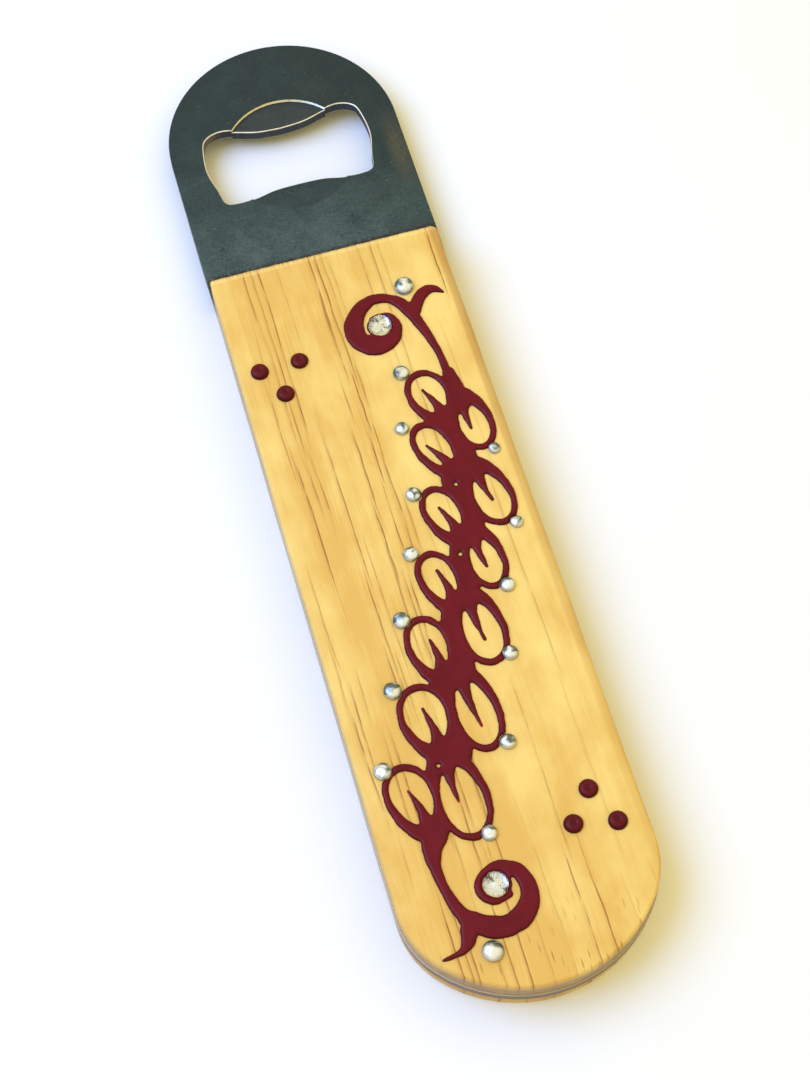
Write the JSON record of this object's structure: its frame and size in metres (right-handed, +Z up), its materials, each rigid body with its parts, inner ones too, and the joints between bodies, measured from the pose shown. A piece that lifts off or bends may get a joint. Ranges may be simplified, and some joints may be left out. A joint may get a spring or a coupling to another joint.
{
  "type": "bottle opener",
  "caption": "Flat steel bar-blade bottle opener with glued pine scales, a hand-painted maroon scroll vine, silver paint drops and flat-backed stones.",
  "frame": {"origin": "middle of the footprint, on the surface that the opener lies on", "axes": "+Y along the handle towards the opener head, +X across the handle, +Z up out of the painted face"},
  "size_m": [0.04, 0.1744, 0.0112],
  "materials": {
    "blued_steel": "dark blue-grey oxide finish, mottled, satin, with bright sheared edges at the mouth",
    "hard_glue": "hard brown glue line",
    "pine": "sanded pine under a thin clear satin varnish, with fine brown resin streaks",
    "maroon_paint": "raised satin paint with rounded edges",
    "silver_paint": "pearly silver dimensional paint, glossy, with a small peak",
    "mirror_foil": "mirror foil",
    "clear_stone": "clear faceted acrylic"
  },
  "bodies": {
    "root": {"blade": "blued_steel", "front_glue": "hard_glue", "back_glue": "hard_glue", "front_scale": "pine", "back_scale": "pine", "vine": "maroon_paint", "maroon_dot_1": "maroon_paint", "maroon_dot_2": "maroon_paint", "maroon_dot_3": "maroon_paint", "maroon_dot_4": "maroon_paint", "maroon_dot_5": "maroon_paint", "maroon_dot_6": "maroon_paint", "silver_drop_1": "silver_paint", "silver_drop_2": "silver_paint", "silver_drop_3": "silver_paint", "silver_drop_4": "silver_paint", "silver_drop_5": "silver_paint", "silver_drop_6": "silver_paint", "silver_drop_7": "silver_paint", "silver_drop_8": "silver_paint", "silver_drop_9": "silver_paint", "silver_drop_10": "silver_paint", "silver_drop_11": "silver_paint", "silver_drop_12": "silver_paint", "silver_drop_13": "silver_paint", "silver_drop_14": "silver_paint", "silver_drop_15": "silver_paint", "stone_foil_upper": "mirror_foil", "stone_foil_lower": "mirror_foil", "stone_upper": "clear_stone", "stone_lower": "clear_stone"}
  },
  "joints": []
}
